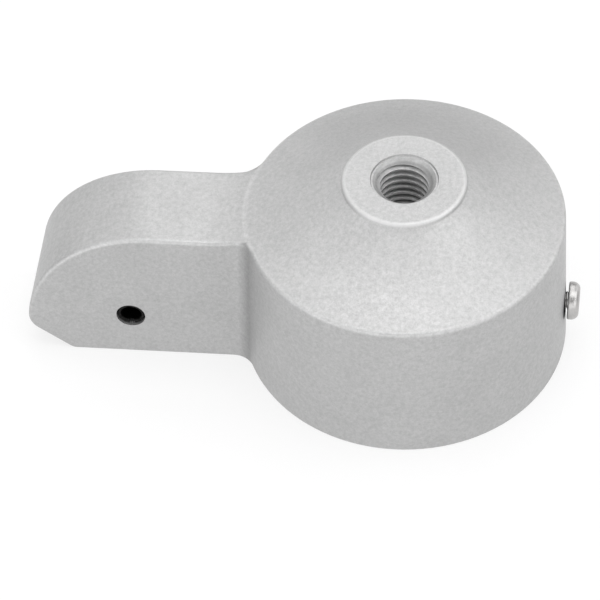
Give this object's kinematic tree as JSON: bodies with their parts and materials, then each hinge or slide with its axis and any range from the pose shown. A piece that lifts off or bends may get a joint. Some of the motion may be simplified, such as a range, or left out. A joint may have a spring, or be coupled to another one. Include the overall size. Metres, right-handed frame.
{
  "type": "flagpole truck",
  "caption": "Cap that fits over a pole's top, with a hooded arm holding a halyard sheave, a threaded boss for a finial and a clamp screw opposite the arm.",
  "frame": {"origin": "centre of the pole socket's mouth, on the plane of the open rim", "axes": "+Z along the cap's axis, from the open rim to the threaded boss; the arm points along -X and the sheave turns about Y"},
  "size_m": [0.1201, 0.0714, 0.0462],
  "materials": {
    "cast_aluminium": "satin",
    "nylon": "satin",
    "black_steel": "satin",
    "zinc_steel": "satin"
  },
  "bodies": {
    "truck": {"truck_body": "cast_aluminium", "roll_pin": "black_steel"},
    "halyard_sheave": {"sheave": "nylon"},
    "screw": {"clamp_screw": "zinc_steel"}
  },
  "joints": [
    {"name": "sheave_spin", "type": "hinge", "parent": "truck", "child": "halyard_sheave", "pos_m": [-0.059, 0, 0.01135], "axis": [0, 1, 0], "continuous": true},
    {"name": "clamp_screw_travel", "type": "slide", "parent": "truck", "child": "screw", "axis": [0.999, -0.0436, 0], "range_m": [-0.00027, 0.0048]}
  ]
}
